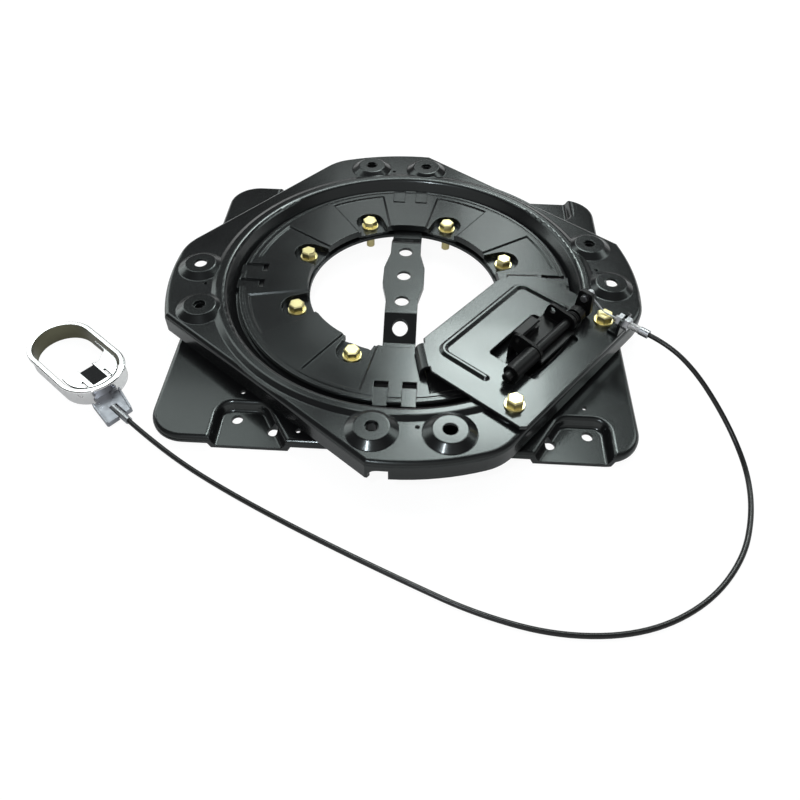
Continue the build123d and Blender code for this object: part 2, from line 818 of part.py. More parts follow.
# Lock plate
lock_plan = [
    (lock_inner, -lock_inner_half),
    (lock_cut, -lock_half),
    (lock_outer - lock_corner, -lock_half),
    (lock_outer, -lock_half + lock_corner),
    (lock_outer, lock_half - lock_corner),
    (lock_outer - lock_corner, lock_half),
    (lock_cut, lock_half),
    (lock_inner, lock_inner_half),
]
bead_path = [(bead_end, -bead_half), (bead_inner, -bead_half), (bead_inner, bead_half), (bead_end, bead_half)]
chamfer_u = lock_cut - lock_inner
chamfer_v = lock_half - lock_inner_half
chamfer_long = hypot(chamfer_u, chamfer_v)
tab_mid_u = (lock_inner + lock_cut) / 2
tab_mid_v = (lock_inner_half + lock_half) / 2
with BuildPart() as lock_plate:
    with BuildSketch(seat.offset(lock_under)):
        with BuildLine():
            Polyline(*lock_plan, close=True)
        make_face()
    extrude(amount=lock_sheet)
    fillet(lock_plate.faces().sort_by(Axis.Z)[-1].outer_wire().edges(), radius=lock_edge)
    with BuildSketch(seat.offset(lock_top)):
        with BuildLine():
            FilletPolyline(*bead_path, radius=bead_corner)
        trace(line_width=bead_width)
        with Locations(bead_path[0], bead_path[-1]):
            Circle(bead_width / 2)
    extrude(amount=bead_rise, taper=press_angle)
    with BuildSketch(seat.offset(lock_under)):
        with BuildLine():
            FilletPolyline(*bead_path, radius=bead_corner)
        trace(line_width=bead_width - 2 * bead_rise)
    extrude(amount=bead_rise, taper=press_angle / 2, mode=Mode.SUBTRACT)
    for side in (1, -1):
        outward = seat.x_dir * (-chamfer_v / chamfer_long) + seat.y_dir * (side * chamfer_u / chamfer_long)
        tab_root = seat_point(tab_mid_u, side * tab_mid_v, lock_top - lock_sheet / 2)
        with BuildSketch(Plane(origin=tab_root, x_dir=outward, z_dir=outward.cross(Vector(0, 0, 1)))):
            with BuildLine():
                FilletPolyline((-lock_sheet, 0), (tab_out, 0), (tab_out, -tab_drop), radius=tab_bend)
            trace(line_width=lock_sheet)
        extrude(amount=tab_length / 2, both=True)
    with BuildSketch(seat.offset(lock_under)) as window:
        with Locations(((window_inner + window_outer) / 2, 0)):
            RectangleRounded(window_outer - window_inner, 2 * window_half, window_corner)
    extrude(amount=lock_sheet, mode=Mode.SUBTRACT)
    with BuildSketch(seat.offset(lock_under)):
        with Locations(*lock_bolts_at):
            Circle((bolt_size + bolt_clear) / 2)
    extrude(amount=lock_sheet, mode=Mode.SUBTRACT)
lock_plate.part.label = "lock_plate"
export_step(lock_plate.part, "parts/lock_plate.step")

# Lock plate bolts
with BuildPart() as lock_bolts:
    with BuildSketch(seat.offset(lock_top)):
        with Locations(*lock_bolts_at):
            RegularPolygon(bolt_hex(hex_flats), 6)
    extrude(amount=head_height)
    chamfer(lock_bolts.faces().filter_by(Axis.Z).group_by(Axis.Z)[-1].edges(), length=head_chamfer)
    with BuildSketch(seat.offset(lock_top)):
        with Locations(*lock_bolts_at):
            Circle(flange_radius)
    extrude(amount=flange_thick)
    with BuildSketch(seat.offset(lock_top)):
        with Locations(*lock_bolts_at):
            Circle(bolt_size / 2)
    extrude(amount=-lock_bolt_length)
lock_bolts.part.label = "lock_bolts"
export_step(lock_bolts.part, "parts/lock_bolts.step")

# Lock plate nuts, under the seat plate
lock_nut_seat = seat_under + lock_lift
with BuildPart() as lock_nuts:
    with BuildSketch(seat.offset(lock_nut_seat)):
        with Locations(*lock_bolts_at):
            RegularPolygon(bolt_hex(hex_flats), 6)
    extrude(amount=-nut_height)
    with BuildSketch(seat.offset(lock_nut_seat)):
        with Locations(*lock_bolts_at):
            Circle(bolt_size / 2 + nut_bore_gap)
    extrude(amount=-nut_height, mode=Mode.SUBTRACT)
lock_nuts.part.label = "lock_nuts"
export_step(lock_nuts.part, "parts/lock_nuts.step")

# Latch bearings: two tubes on saddles, welded to the lock plate
near_start = cheek_near - bearing_gap
far_end = bearing_far + bearing_length
with BuildPart() as latch_bearings:
    for start, length in ((far_end, bearing_length), (near_start, bearing_near + near_start)):
        with BuildSketch(across(start)):
            with Locations((pivot_u, pivot_height)):
                Circle(bearing_radius)
        extrude(amount=length)
    with BuildSketch(seat.offset(lock_top)):
        with Locations((pivot_u, bearing_far)):
            Rectangle(2 * saddle_half, bearing_length, align=(Align.CENTER, Align.MIN))
        with Locations((pivot_u, -bearing_near)):
            Rectangle(2 * saddle_half, saddle_length, align=(Align.CENTER, Align.MIN))
    extrude(amount=pivot_height - lock_top)
    with BuildSketch(across(far_end)):
        with Locations((pivot_u, pivot_height)):
            Circle(shaft_size / 2 + shaft_fit)
    extrude(amount=far_end + bearing_near, mode=Mode.SUBTRACT)
latch_bearings.part.label = "latch_bearings"
export_step(latch_bearings.part, "parts/latch_bearings.step")

# Latch shaft
shaft_low = -(bearing_near + shaft_over)
shaft_high = arm_at + arm_thick
with BuildPart() as latch_shaft:
    with BuildSketch(across(shaft_high)):
        with Locations((pivot_u, pivot_height)):
            Circle(shaft_size / 2)
    extrude(amount=shaft_high - shaft_low)
    chamfer(latch_shaft.edges().filter_by(GeomType.CIRCLE), length=shaft_edge)
latch_shaft.part.label = "latch_shaft"
export_step(latch_shaft.part, "parts/latch_shaft.step")

# Latch pawl: web under the shaft, two cheeks with eyes, and a toothed block
tooth_low = ring_top + tooth_lift
web_low = web_top - web_sheet
with BuildPart() as latch_pawl:
    with BuildSketch(seat.offset(tooth_root)):
        with Locations((pawl_front, 0)):
            Rectangle(block_depth, 2 * block_half, align=(Align.MIN, Align.CENTER))
    extrude(amount=block_top - tooth_root)
    chamfer(latch_pawl.faces().sort_by(Axis.Z)[-1].edges(), length=block_edge)
    with BuildSketch(seat.offset(web_low)):
        with Locations((pawl_front, cheek_near)):
            Rectangle(pivot_u - pawl_front, cheek_far - cheek_near, align=(Align.MIN, Align.MIN))
            Rectangle(pivot_u + web_over - pawl_front, web_far - cheek_near, align=(Align.MIN, Align.MIN))
    extrude(amount=web_sheet)
    for start in (cheek_far, cheek_near + pawl_sheet):
        with BuildSketch(across(start)):
            with Locations(eye_at):
                Circle(eye_radius)
            with Locations((pivot_u, pivot_height)):
                Circle(hub_radius)
            with Locations((pawl_front, web_low)):
                Rectangle(pivot_u - pawl_front, web_sheet, align=(Align.MIN, Align.MIN))
            make_hull()
        extrude(amount=pawl_sheet)
    with BuildSketch(facing(pawl_front)):
        with Locations((lock_offset, tooth_low), (-lock_offset, tooth_low)):
            Rectangle(tooth_width, web_top - tooth_low, align=(Align.CENTER, Align.MIN))
    extrude(amount=pawl_sheet)
    with BuildSketch(across(cheek_far)):
        with Locations((pivot_u, pivot_height)):
            Circle(shaft_size / 2 + nut_bore_gap)
        with Locations(eye_at):
            Circle(eye_size / 2)
    extrude(amount=cheek_far - cheek_near, mode=Mode.SUBTRACT)
latch_pawl.part.label = "latch_pawl"
export_step(latch_pawl.part, "parts/latch_pawl.step")

# Pawl spring between the far cheek and the far bearing
spring_radius = shaft_size / 2 + spring_clear + spring_wire / 2
spring_height = spring_turns * spring_pitch
spring_start = cheek_far + spring_gap + spring_wire / 2
with BuildPart() as latch_spring:
    with BuildLine() as coil:
        Helix(
            pitch=spring_pitch,
            height=spring_height,
            radius=spring_radius,
            center=seat_point(pivot_u, spring_start, pivot_height),
            direction=seat.y_dir,
        )
    with BuildSketch(Plane(origin=coil.line @ 0, z_dir=coil.line % 0)):
        Circle(spring_wire / 2)
    sweep(path=coil.line, is_frenet=True)
latch_spring.part.label = "latch_spring"
export_step(latch_spring.part, "parts/latch_spring.step")

# Release arm
nipple_height = pivot_height + nipple_lift
with BuildPart() as release_arm:
    with BuildSketch(across(arm_at + arm_thick)) as arm:
        with Locations((pivot_u, arm_low)):
            Rectangle(2 * arm_half, arm_top - arm_low, align=(Align.CENTER, Align.MIN))
        fillet(arm.vertices().group_by(Axis.Y)[-1], radius=arm_corner)
        with Locations((pivot_u, pivot_height)):
            Circle(arm_hub)
        make_hull()
        with Locations((pivot_u, pivot_height)):
            Circle(shaft_size / 2 + nut_bore_gap, mode=Mode.SUBTRACT)
        with Locations((pivot_u, nipple_height)):
            Circle(nipple_size / 2 + nipple_play, mode=Mode.SUBTRACT)
    extrude(amount=arm_thick)
release_arm.part.label = "release_arm"
export_step(release_arm.part, "parts/release_arm.step")

# Wire nipple, a barrel held in the release arm
with BuildPart() as wire_nipple:
    with BuildSketch(across(nipple_far)):
        with Locations((pivot_u, nipple_height)):
            Circle(nipple_size / 2)
    extrude(amount=nipple_far - nipple_near)
    wire_fall = atan2(nipple_height - adjuster_height, wire_bend_at - pivot_u)
    wire_way = seat.x_dir * cos(wire_fall) - Vector(0, 0, 1) * sin(wire_fall)
    with BuildSketch(Plane(origin=seat_point(pivot_u, wire_at, nipple_height), z_dir=wire_way)):
        Circle(wire_size / 2)
    extrude(amount=nipple_size, mode=Mode.SUBTRACT)
wire_nipple.part.label = "wire_nipple"
export_step(wire_nipple.part, "parts/wire_nipple.step")

# Inner wire from the nipple into the adjuster
with BuildPart() as inner_wire:
    with BuildLine(across(wire_at)) as wire_line:
        FilletPolyline(
            (pivot_u, nipple_height), (wire_bend_at, adjuster_height), (wire_end, adjuster_height), radius=wire_bend
        )
    with BuildSketch(Plane(origin=wire_line.line @ 0, z_dir=wire_line.line % 0)):
        Circle(wire_size / 2)
    sweep(path=wire_line.line)
inner_wire.part.label = "inner_wire"
export_step(inner_wire.part, "parts/inner_wire.step")

# Cable bracket with its open slot
with BuildPart() as cable_bracket:
    with BuildSketch(seat.offset(lock_top)):
        with Locations((holder_inner, wire_at)):
            Rectangle(
                holder_plate + holder_sheet - holder_inner, 2 * holder_half, align=(Align.MIN, Align.CENTER)
            )
    extrude(amount=holder_sheet)
    with BuildSketch(facing(holder_plate)) as upright:
        with Locations((wire_at, lock_top)):
            Rectangle(2 * holder_half, holder_rise, align=(Align.CENTER, Align.MIN))
        fillet(upright.vertices().group_by(Axis.Y)[-1], radius=holder_corner)
        with Locations((wire_at, adjuster_height)):
            Circle(adjuster_size / 2 + slot_play, mode=Mode.SUBTRACT)
            Rectangle(
                adjuster_size + 2 * slot_play, holder_rise, align=(Align.CENTER, Align.MIN), mode=Mode.SUBTRACT
            )
    extrude(amount=holder_sheet)
cable_bracket.part.label = "cable_bracket"
export_step(cable_bracket.part, "parts/cable_bracket.step")

# Cable adjuster
with BuildPart() as cable_adjuster:
    with BuildSketch(facing(adjuster_start)):
        with Locations((wire_at, adjuster_height)):
            Circle(adjuster_size / 2)
            Circle(adjuster_bore / 2, mode=Mode.SUBTRACT)
    extrude(amount=adjuster_end - adjuster_start)
cable_adjuster.part.label = "cable_adjuster"
export_step(cable_adjuster.part, "parts/cable_adjuster.step")

# Adjuster nuts either side of the bracket
with BuildPart() as adjuster_nuts:
    for start in (holder_plate - adjuster_nut_thick, holder_plate + holder_sheet):
        with BuildSketch(facing(start)):
            with Locations((wire_at, adjuster_height)):
                RegularPolygon(bolt_hex(adjuster_nut_flats), 6)
                Circle(adjuster_size / 2 + nut_bore_gap, mode=Mode.SUBTRACT)
        extrude(amount=adjuster_nut_thick)
adjuster_nuts.part.label = "adjuster_nuts"
export_step(adjuster_nuts.part, "parts/adjuster_nuts.step")

# Cable stop on the end of the sheath
sheath_start = adjuster_end + stop_length
with BuildPart() as cable_stop:
    with BuildSketch(facing(adjuster_end)):
        with Locations((wire_at, adjuster_height)):
            Circle(stop_size / 2)
    extrude(amount=stop_length)
cable_stop.part.label = "cable_stop"
export_step(cable_stop.part, "parts/cable_stop.step")

# Handle bezel
body_length = handle_length - 2 * rim_flare
body_width = handle_width - 2 * rim_flare
open_length = body_length - 2 * handle_wall
open_width = body_width - 2 * handle_wall
fork_low = cable_height - fork_thick / 2
with BuildPart() as handle_bezel:
    with BuildSketch(handle_level(handle_height - rim_thick)):
        SlotOverall(handle_length, handle_width)
    extrude(amount=rim_thick)
    fillet(handle_bezel.faces().filter_by(Axis.Z).edges(), radius=rim_round)
    with BuildSketch(handle_level(0)):
        SlotOverall(body_length, body_width)
    extrude(amount=handle_height - rim_thick / 2)
    with BuildSketch(handle_level(0)):
        SlotOverall(open_length, open_width)
    extrude(amount=handle_height, mode=Mode.SUBTRACT)
    fillet(handle_bezel.faces().filter_by(Axis.Z).sort_by(Axis.Z)[-1].inner_wires()[0].edges(), radius=rim_round / 2)
    with BuildSketch(handle_across(handle_width / 2)):
        with Locations((hinge_p, hinge_height)):
            Circle(hinge_pin / 2 + nut_bore_gap)
    extrude(amount=handle_width, mode=Mode.SUBTRACT)
    with BuildSketch(handle_facing(open_length / 2 - fork_neck_half)):
        with Locations((cable_q, cable_height)):
            Rectangle(2 * (fork_neck_half + fork_fit), fork_thick + 2 * fork_fit)
    extrude(amount=handle_length, mode=Mode.SUBTRACT)
handle_bezel.part.label = "handle_bezel"
export_step(handle_bezel.part, "parts/handle_bezel.step")

# Handle pin
pin_half = sqrt((body_width / 2) ** 2 - (hinge_p - handle_core) ** 2) - pin_end_gap
with BuildPart() as handle_pin:
    with BuildSketch(handle_across(pin_half)):
        with Locations((hinge_p, hinge_height)):
            Circle(hinge_pin / 2)
    extrude(amount=2 * pin_half)
handle_pin.part.label = "handle_pin"
export_step(handle_pin.part, "parts/handle_pin.step")

# Handle paddle: lifting plate, knuckle on the pin and slotted tail that pulls the wire
paddle_under = paddle_top - paddle_sheet


def on_free_end(edge):
    """Whether an edge of the paddle's top face runs along its free end."""
    place = handle_level(paddle_top).to_local_coords(edge.center())
    inside = abs(place.Y) < open_width / 2 - paddle_gap - edge_slack
    return abs(place.Z) < edge_slack and place.X < slit_far[0] - slit_run and inside


with BuildPart() as handle_paddle:
    with BuildSketch(handle_level(paddle_under)):
        with BuildLine():
            edge_line = FilletPolyline(*paddle_edge, radius=paddle_curve)
            Polyline(
                edge_line @ 1, (handle_length, paddle_edge[-1][1]), (handle_length, paddle_edge[0][1]), edge_line @ 0
            )
        make_face()
        SlotOverall(open_length - 2 * paddle_gap, open_width - 2 * paddle_gap, mode=Mode.INTERSECT)
        with Locations(slit_far, slit_near):
            SlotOverall(slit_run, slit_size, mode=Mode.SUBTRACT)
    extrude(amount=paddle_sheet)
    fillet(handle_paddle.edges().filter_by(on_free_end), radius=paddle_round)
    with BuildSketch(handle_across(knuckle_half)):
        with Locations((hinge_p, hinge_height)):
            Circle(knuckle_radius)
    extrude(amount=2 * knuckle_half)
    with BuildSketch(handle_facing(hinge_p - tail_thick / 2)):
        with Locations((cable_q, tail_low)):
            Rectangle(2 * tail_half, hinge_height - tail_low, align=(Align.CENTER, Align.MIN))
        with Locations((cable_q, tail_slot_top)):
            Rectangle(tail_slot, tail_slot_top, align=(Align.CENTER, Align.MAX), mode=Mode.SUBTRACT)
    extrude(amount=tail_thick)
    with BuildSketch(handle_level(paddle_under)):
        with Locations((pad_start, pad_low)):
            Rectangle(pad_end - pad_start, pad_high - pad_low, align=(Align.MIN, Align.MIN))
    extrude(amount=paddle_sheet, mode=Mode.SUBTRACT)
    with BuildSketch(handle_across(knuckle_half)):
        with Locations((hinge_p, hinge_height)):
            Circle(hinge_pin / 2 + shaft_fit)
    extrude(amount=2 * knuckle_half, mode=Mode.SUBTRACT)
handle_paddle.part.label = "handle_paddle"
export_step(handle_paddle.part, "parts/handle_paddle.step")

# Handle pad, set in the paddle's notch
with BuildPart() as handle_pad:
    with BuildSketch(handle_level(paddle_under)):
        with Locations((pad_start + pad_lead, pad_low)):
            Rectangle(pad_end - pad_start - pad_lead, pad_high - pad_low, align=(Align.MIN, Align.MIN))
    extrude(amount=paddle_sheet - pad_recess)
handle_pad.part.label = "handle_pad"
export_step(handle_pad.part, "parts/handle_pad.step")

# Cable fork at the handle
fork_plan = [
    (fork_inner, cable_q - fork_neck_half),
    (fork_neck, cable_q - fork_neck_half),
    (fork_neck, cable_q - fork_near_start),
    (fork_end, cable_q - fork_near_end),
    (fork_end, cable_q - fork_slot_half),
    (fork_root, cable_q - fork_slot_half),
    (fork_root, cable_q + fork_slot_half),
    (fork_end, cable_q + fork_slot_half),
    (fork_end, cable_q + fork_far_end),
    (fork_neck, cable_q + fork_far_start),
    (fork_neck, cable_q + fork_neck_half),
    (fork_inner, cable_q + fork_neck_half),
]
near_lip = [
    (fork_neck, cable_q - fork_near_start),
    (fork_end, cable_q - fork_near_end),
    (fork_end, cable_q - fork_near_end + fork_lip),
    (fork_neck, cable_q - fork_near_start + fork_lip),
]
far_lip = [
    (fork_neck, cable_q + fork_far_start),
    (fork_end, cable_q + fork_far_end),
    (fork_end, cable_q + fork_far_end - fork_lip),
    (fork_neck, cable_q + fork_far_start - fork_lip),
]
with BuildPart() as cable_fork:
    with BuildSketch(handle_level(fork_low)):
        with BuildLine():
            Polyline(*fork_plan, close=True)
        make_face()
    extrude(amount=fork_thick)
    with BuildSketch(handle_level(fork_low)):
        for lip in (near_lip, far_lip):
            with BuildLine():
                Polyline(*lip, close=True)
            make_face()
    extrude(amount=fork_thick + fork_lip_rise)
    fillet(
        cable_fork.edges().filter_by(Axis.Z).filter_by(
            lambda edge: abs(seat.to_local_coords(edge.center()).X - handle_u - fork_end) < fork_fit
            and edge.length > fork_thick + fork_fit
        ),
        radius=fork_round,
    )
    with BuildSketch(handle_facing(fork_inner)):
        with Locations((cable_q, cable_height)):
            Circle(adjuster_bore / 2)
    extrude(amount=fork_root - fork_inner, mode=Mode.SUBTRACT)
cable_fork.part.label = "cable_fork"
export_step(cable_fork.part, "parts/cable_fork.step")

# Cable ferrule at the handle
ferrule_end = fork_root + ferrule_length
with BuildPart() as cable_ferrule:
    with BuildSketch(handle_facing(fork_root)):
        with Locations((cable_q, cable_height)):
            Circle(ferrule_size / 2)
    extrude(amount=ferrule_length)
    with BuildSketch(handle_facing(fork_root)):
        with Locations((cable_q, cable_height)):
            Circle(adjuster_bore / 2)
    extrude(amount=ferrule_bore_length, mode=Mode.SUBTRACT)
cable_ferrule.part.label = "cable_ferrule"
export_step(cable_ferrule.part, "parts/cable_ferrule.step")

# Handle wire with its end button behind the paddle's tail
hook_face = hinge_p - tail_thick / 2 - hook_gap
with BuildPart() as handle_wire:
    with BuildSketch(handle_facing(hook_face)):
        with Locations((cable_q, cable_height)):
            Circle(hook_size / 2)
    extrude(amount=-hook_thick)
    with BuildSketch(handle_facing(hook_face - hook_thick / 2)):
        with Locations((cable_q, cable_height)):
            Circle(wire_size / 2)
    extrude(amount=fork_root + handle_wire_grip - hook_face + hook_thick / 2)
handle_wire.part.label = "handle_wire"
export_step(handle_wire.part, "parts/handle_wire.step")

# Cable sheath from the latch over the edge, across the floor and round to the handle
sheath_end = handle_u + ferrule_end
handle_line = handle_v + cable_q
sheath_lead = 18.0
sheath_tail = 26.0
sheath_drop = [(44.0, 61.0, 42.0), (70.0, 56.0, 27.0), (95.0, 46.0, 13.0), (118.0, 27.0, 4.2)]
sheath_floor_run = [
    (359.5, 92.8),
    (353.2, 106.2),
    (345.6, 112.1),
    (337.5, 107.1),
    (328.9, 88.5),
    (320.3, 61.5),
    (311.34, 33.8),
    (301.23, 14.0),
    (290.78, 2.9),
    (279.92, -0.7),
    (269.8, 2.0),
]


def floor_point(angle, beyond):
    """A place on the floor, by its angle from the seat's u axis and its distance beyond the floor plate's corners."""
    reach = corner_reach + beyond
    return (reach * cos(radians(angle)), reach * sin(radians(angle)), sheath_floor)


sheath_route = [
    (sheath_start, wire_at, adjuster_height),
    (sheath_start + sheath_lead, wire_at, adjuster_height),
    *[(sheath_start + run, v, height) for run, v, height in sheath_drop],
    *[floor_point(angle, beyond) for angle, beyond in sheath_floor_run],
    (sheath_end + sheath_tail, handle_line, cable_height),
    (sheath_end, handle_line, cable_height),
]


def bend_radii(route):
    """Bend radius at each inner point, from the shorter of its two runs and the turn there."""
    radii = []
    for before, here, after in zip(route, route[1:], route[2:]):
        run_in = Vector(*here) - Vector(*before)
        run_out = Vector(*after) - Vector(*here)
        turn = radians(run_in.get_angle(run_out))
        radii.append(run_share * min(run_in.length, run_out.length) / tan(turn / 2))
    return radii


sheath_radii = bend_radii(sheath_route)
with BuildPart() as cable:
    with BuildLine() as sheath_line:
        FilletPolyline(*[seat_point(*point) for point in sheath_route], radius=sheath_radii)
    with BuildSketch(Plane(origin=sheath_line.line @ 0, z_dir=sheath_line.line % 0)):
        Circle(sheath_size / 2)
    sweep(path=sheath_line.line)
cable.part.label = "cable"
export_step(cable.part, "parts/cable.step")

sheath_length = sum(edge.length for edge in sheath_line.edges())
print("sheath radii", [round(radius) for radius in sheath_radii])
print("sheath length", round(sheath_length, 1))
print("sheath volume ratio", round(cable.part.volume / (pi * (sheath_size / 2) ** 2 * sheath_length), 4))
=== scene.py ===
# %% [markdown]
# # A swivel seat base, dressed in Blender
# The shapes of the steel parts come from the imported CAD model, so this lesson is about the looks:
# the camera, the light, the paint, the plated bolts, the chrome handle and the black pull cable.
# Everything is in metres, in the CAD model's own axes: Z is up, and the origin lies on the floor
# under the swivel's axis.

import json
from math import cos, pi, radians, sin

import bpy
from mathutils import Matrix, Vector


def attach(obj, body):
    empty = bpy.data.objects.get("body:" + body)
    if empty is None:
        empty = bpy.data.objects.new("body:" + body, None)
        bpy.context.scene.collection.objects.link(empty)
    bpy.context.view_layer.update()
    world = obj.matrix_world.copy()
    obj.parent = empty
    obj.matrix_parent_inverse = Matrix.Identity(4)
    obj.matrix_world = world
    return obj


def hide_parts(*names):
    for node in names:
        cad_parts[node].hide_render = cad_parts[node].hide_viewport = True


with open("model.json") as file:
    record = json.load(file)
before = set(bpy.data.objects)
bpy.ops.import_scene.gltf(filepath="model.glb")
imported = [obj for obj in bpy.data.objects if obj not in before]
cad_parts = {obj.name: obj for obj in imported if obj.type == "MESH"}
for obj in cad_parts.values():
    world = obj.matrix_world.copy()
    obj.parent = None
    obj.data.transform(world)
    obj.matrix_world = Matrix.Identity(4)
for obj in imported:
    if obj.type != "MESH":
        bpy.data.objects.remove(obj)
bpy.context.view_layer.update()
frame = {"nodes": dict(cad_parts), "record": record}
nodes = frame["nodes"]
print("CAD pieces:", len(nodes))

# %% [markdown]
# ## Two sets of axes
# The seat plate is turned on the floor plate, as in the photograph. The lock, the cable and the
# handle belong to the seat plate, so it is easier to think of their places in the seat plate's
# own axes and to turn the points at the end.

# %% Seat axes
SEAT_TURN = radians(-38.46)
MM = 0.001


def seat_point(u, v, z):
    """A place in the seat plate's own axes, in millimetres, as a point of the scene."""
    x = u * cos(SEAT_TURN) - v * sin(SEAT_TURN)
    y = u * sin(SEAT_TURN) + v * cos(SEAT_TURN)
    return Vector((x, y, z)) * MM


print("seat plate's u axis:", seat_point(1000, 0, 0))

# %% [markdown]
# ## The camera
# The photograph looks down at the plate from a little right of the middle. The camera's place,
# tilt and lens were worked out from the bolt circle, which is a true circle on the object, and
# from the straight edges of the two plates.

# %% Camera
CAMERA_PLACE = (0.02065, -0.51999, 0.4504)
CAMERA_YAW = radians(2.46)
CAMERA_TILT = radians(90 - 48.21)
CAMERA_ROLL = radians(0.91)
SENSOR_WIDTH = 36.0
LENS = 32.61
camera_data = bpy.data.cameras.new("camera")
camera_data.sensor_width = SENSOR_WIDTH
camera_data.lens = LENS
camera_data.clip_start = 0.01
camera = bpy.data.objects.new("camera", camera_data)
bpy.context.scene.collection.objects.link(camera)
camera.matrix_world = (
    Matrix.Translation(CAMERA_PLACE)
    @ Matrix.Rotation(CAMERA_YAW, 4, "Z")
    @ Matrix.Rotation(CAMERA_TILT, 4, "X")
    @ Matrix.Rotation(CAMERA_ROLL, 4, "Z")
)
bpy.context.scene.camera = camera
print("camera looks along", camera.matrix_world.to_3x3() @ Vector((0, 0, -1)))

# %% [markdown]
# ## The floor
# The photograph is cut out on white. A wide pale floor stands in for it. A white sheet lit by
# strong lamps would also do, but those lamps would bleach the object. So what the camera sees of
# the floor is mostly a white of its own, and only a share of it is real light, which leaves a
# faint shadow under the plates.

# %% Floor
FLOOR_SIZE = 6.0
FLOOR_OWN_WHITE = 0.82
FLOOR_MIRRORED_WHITE = 0.2
FLOOR_GLOW = 1.15
FLOOR_GREY = 0.55
bpy.ops.object.select_all(action="DESELECT")
bpy.ops.mesh.primitive_plane_add(size=FLOOR_SIZE, location=(0, 0, 0))
floor = bpy.context.object
floor.name = "floor"


def largest(tree, first, second):
    """The larger of two values."""
    node = tree.nodes.new("ShaderNodeMath")
    node.operation = "MAXIMUM"
    tree.links.new(first, node.inputs[0])
    tree.links.new(second, node.inputs[1])
    return node.outputs[0]


floor_paint = bpy.data.materials.new("white floor")
floor_paint.use_nodes = True
tree = floor_paint.node_tree
tree.nodes.clear()
rays = tree.nodes.new("ShaderNodeLightPath")
straight = largest(tree, rays.outputs["Is Camera Ray"], rays.outputs["Is Transmission Ray"])
mirrored = rays.outputs["Is Glossy Ray"]
shares = []
for ray, level in ((straight, FLOOR_OWN_WHITE), (mirrored, FLOOR_MIRRORED_WHITE)):
    part = tree.nodes.new("ShaderNodeMath")
    part.operation = "MULTIPLY"
    part.inputs[1].default_value = level
    tree.links.new(ray, part.inputs[0])
    shares.append(part.outputs[0])
share = largest(tree, *shares)
lit = tree.nodes.new("ShaderNodeBsdfDiffuse")
lit.inputs["Color"].default_value = (FLOOR_GREY, FLOOR_GREY, FLOOR_GREY, 1)
glow = tree.nodes.new("ShaderNodeEmission")
glow.inputs["Color"].default_value = (1, 1, 1, 1)
glow.inputs["Strength"].default_value = FLOOR_GLOW
mix = tree.nodes.new("ShaderNodeMixShader")
tree.links.new(share, mix.inputs[0])
tree.links.new(lit.outputs[0], mix.inputs[1])
tree.links.new(glow.outputs[0], mix.inputs[2])
out = tree.nodes.new("ShaderNodeOutputMaterial")
tree.links.new(mix.outputs[0], out.inputs["Surface"])
floor.data.materials.append(floor_paint)
print("floor:", floor.name)

# %% [markdown]
# ## The studio
# Black gloss paint has hardly any colour of its own: what one sees on it is the room. In a room
# that is white all over it turns an even grey. A photographer can keep the walls white near the
# floor, which draws bright lines along every rolled edge, and leave the ceiling dark, which keeps
# the flat faces black. The world below does the same: white to the camera, white near the horizon
# in reflections, and dim overhead. A grey fill stands behind the camera, so that chrome edges
# turned that way are grey and not black. Matt surfaces get one even level from all round.

# %% World
WORLD_LIGHT = 0.3
FRONT_FILL = 0.45
FRONT_STARTS = -0.15
FRONT_FULL = -0.55
CEILING_LEVEL = 0.06
world = bpy.data.worlds.new("studio")
bpy.context.scene.world = world
world.use_nodes = True
tree = world.node_tree
tree.nodes.clear()
rays = tree.nodes.new("ShaderNodeLightPath")
plain = tree.nodes.new("ShaderNodeBackground")
plain.inputs["Color"].default_value = (1, 1, 1, 1)
plain.inputs["Strength"].default_value = WORLD_LIGHT
white = tree.nodes.new("ShaderNodeBackground")
white.inputs["Color"].default_value = (1, 1, 1, 1)
white.inputs["Strength"].default_value = 1.0
heading = tree.nodes.new("ShaderNodeTexCoord")
axes = tree.nodes.new("ShaderNodeSeparateXYZ")
tree.links.new(heading.outputs["Generated"], axes.inputs[0])
ramp = tree.nodes.new("ShaderNodeValToRGB")
ramp.color_ramp.interpolation = "EASE"
walls = [(0.0, 1.0), (0.1, 1.0), (0.25, CEILING_LEVEL), (1.0, CEILING_LEVEL)]
while len(ramp.color_ramp.elements) < len(walls):
    ramp.color_ramp.elements.new(0.5)
for element, (height, level) in zip(ramp.color_ramp.elements, walls):
    element.position = height
    element.color = (level, level, level, 1)
tree.links.new(axes.outputs["Z"], ramp.inputs[0])
front = tree.nodes.new("ShaderNodeMapRange")
front.inputs["From Min"].default_value = FRONT_STARTS
front.inputs["From Max"].default_value = FRONT_FULL
front.inputs["To Min"].default_value = 0.0
front.inputs["To Max"].default_value = FRONT_FILL
tree.links.new(axes.outputs["Y"], front.inputs["Value"])
room = tree.nodes.new("ShaderNodeBackground")
room.inputs["Color"].default_value = (1, 1, 1, 1)
tree.links.new(largest(tree, ramp.outputs["Color"], front.outputs["Result"]), room.inputs["Strength"])
shiny = tree.nodes.new("ShaderNodeMixShader")
tree.links.new(rays.outputs["Is Glossy Ray"], shiny.inputs[0])
tree.links.new(plain.outputs[0], shiny.inputs[1])
tree.links.new(room.outputs[0], shiny.inputs[2])
mix = tree.nodes.new("ShaderNodeMixShader")
straight = largest(tree, rays.outputs["Is Camera Ray"], rays.outputs["Is Transmission Ray"])
tree.links.new(straight, mix.inputs[0])
tree.links.new(shiny.outputs[0], mix.inputs[1])
tree.links.new(white.outputs[0], mix.inputs[2])
out = tree.nodes.new("ShaderNodeOutputWorld")
tree.links.new(mix.outputs[0], out.inputs["Surface"])
print("world light:", WORLD_LIGHT)

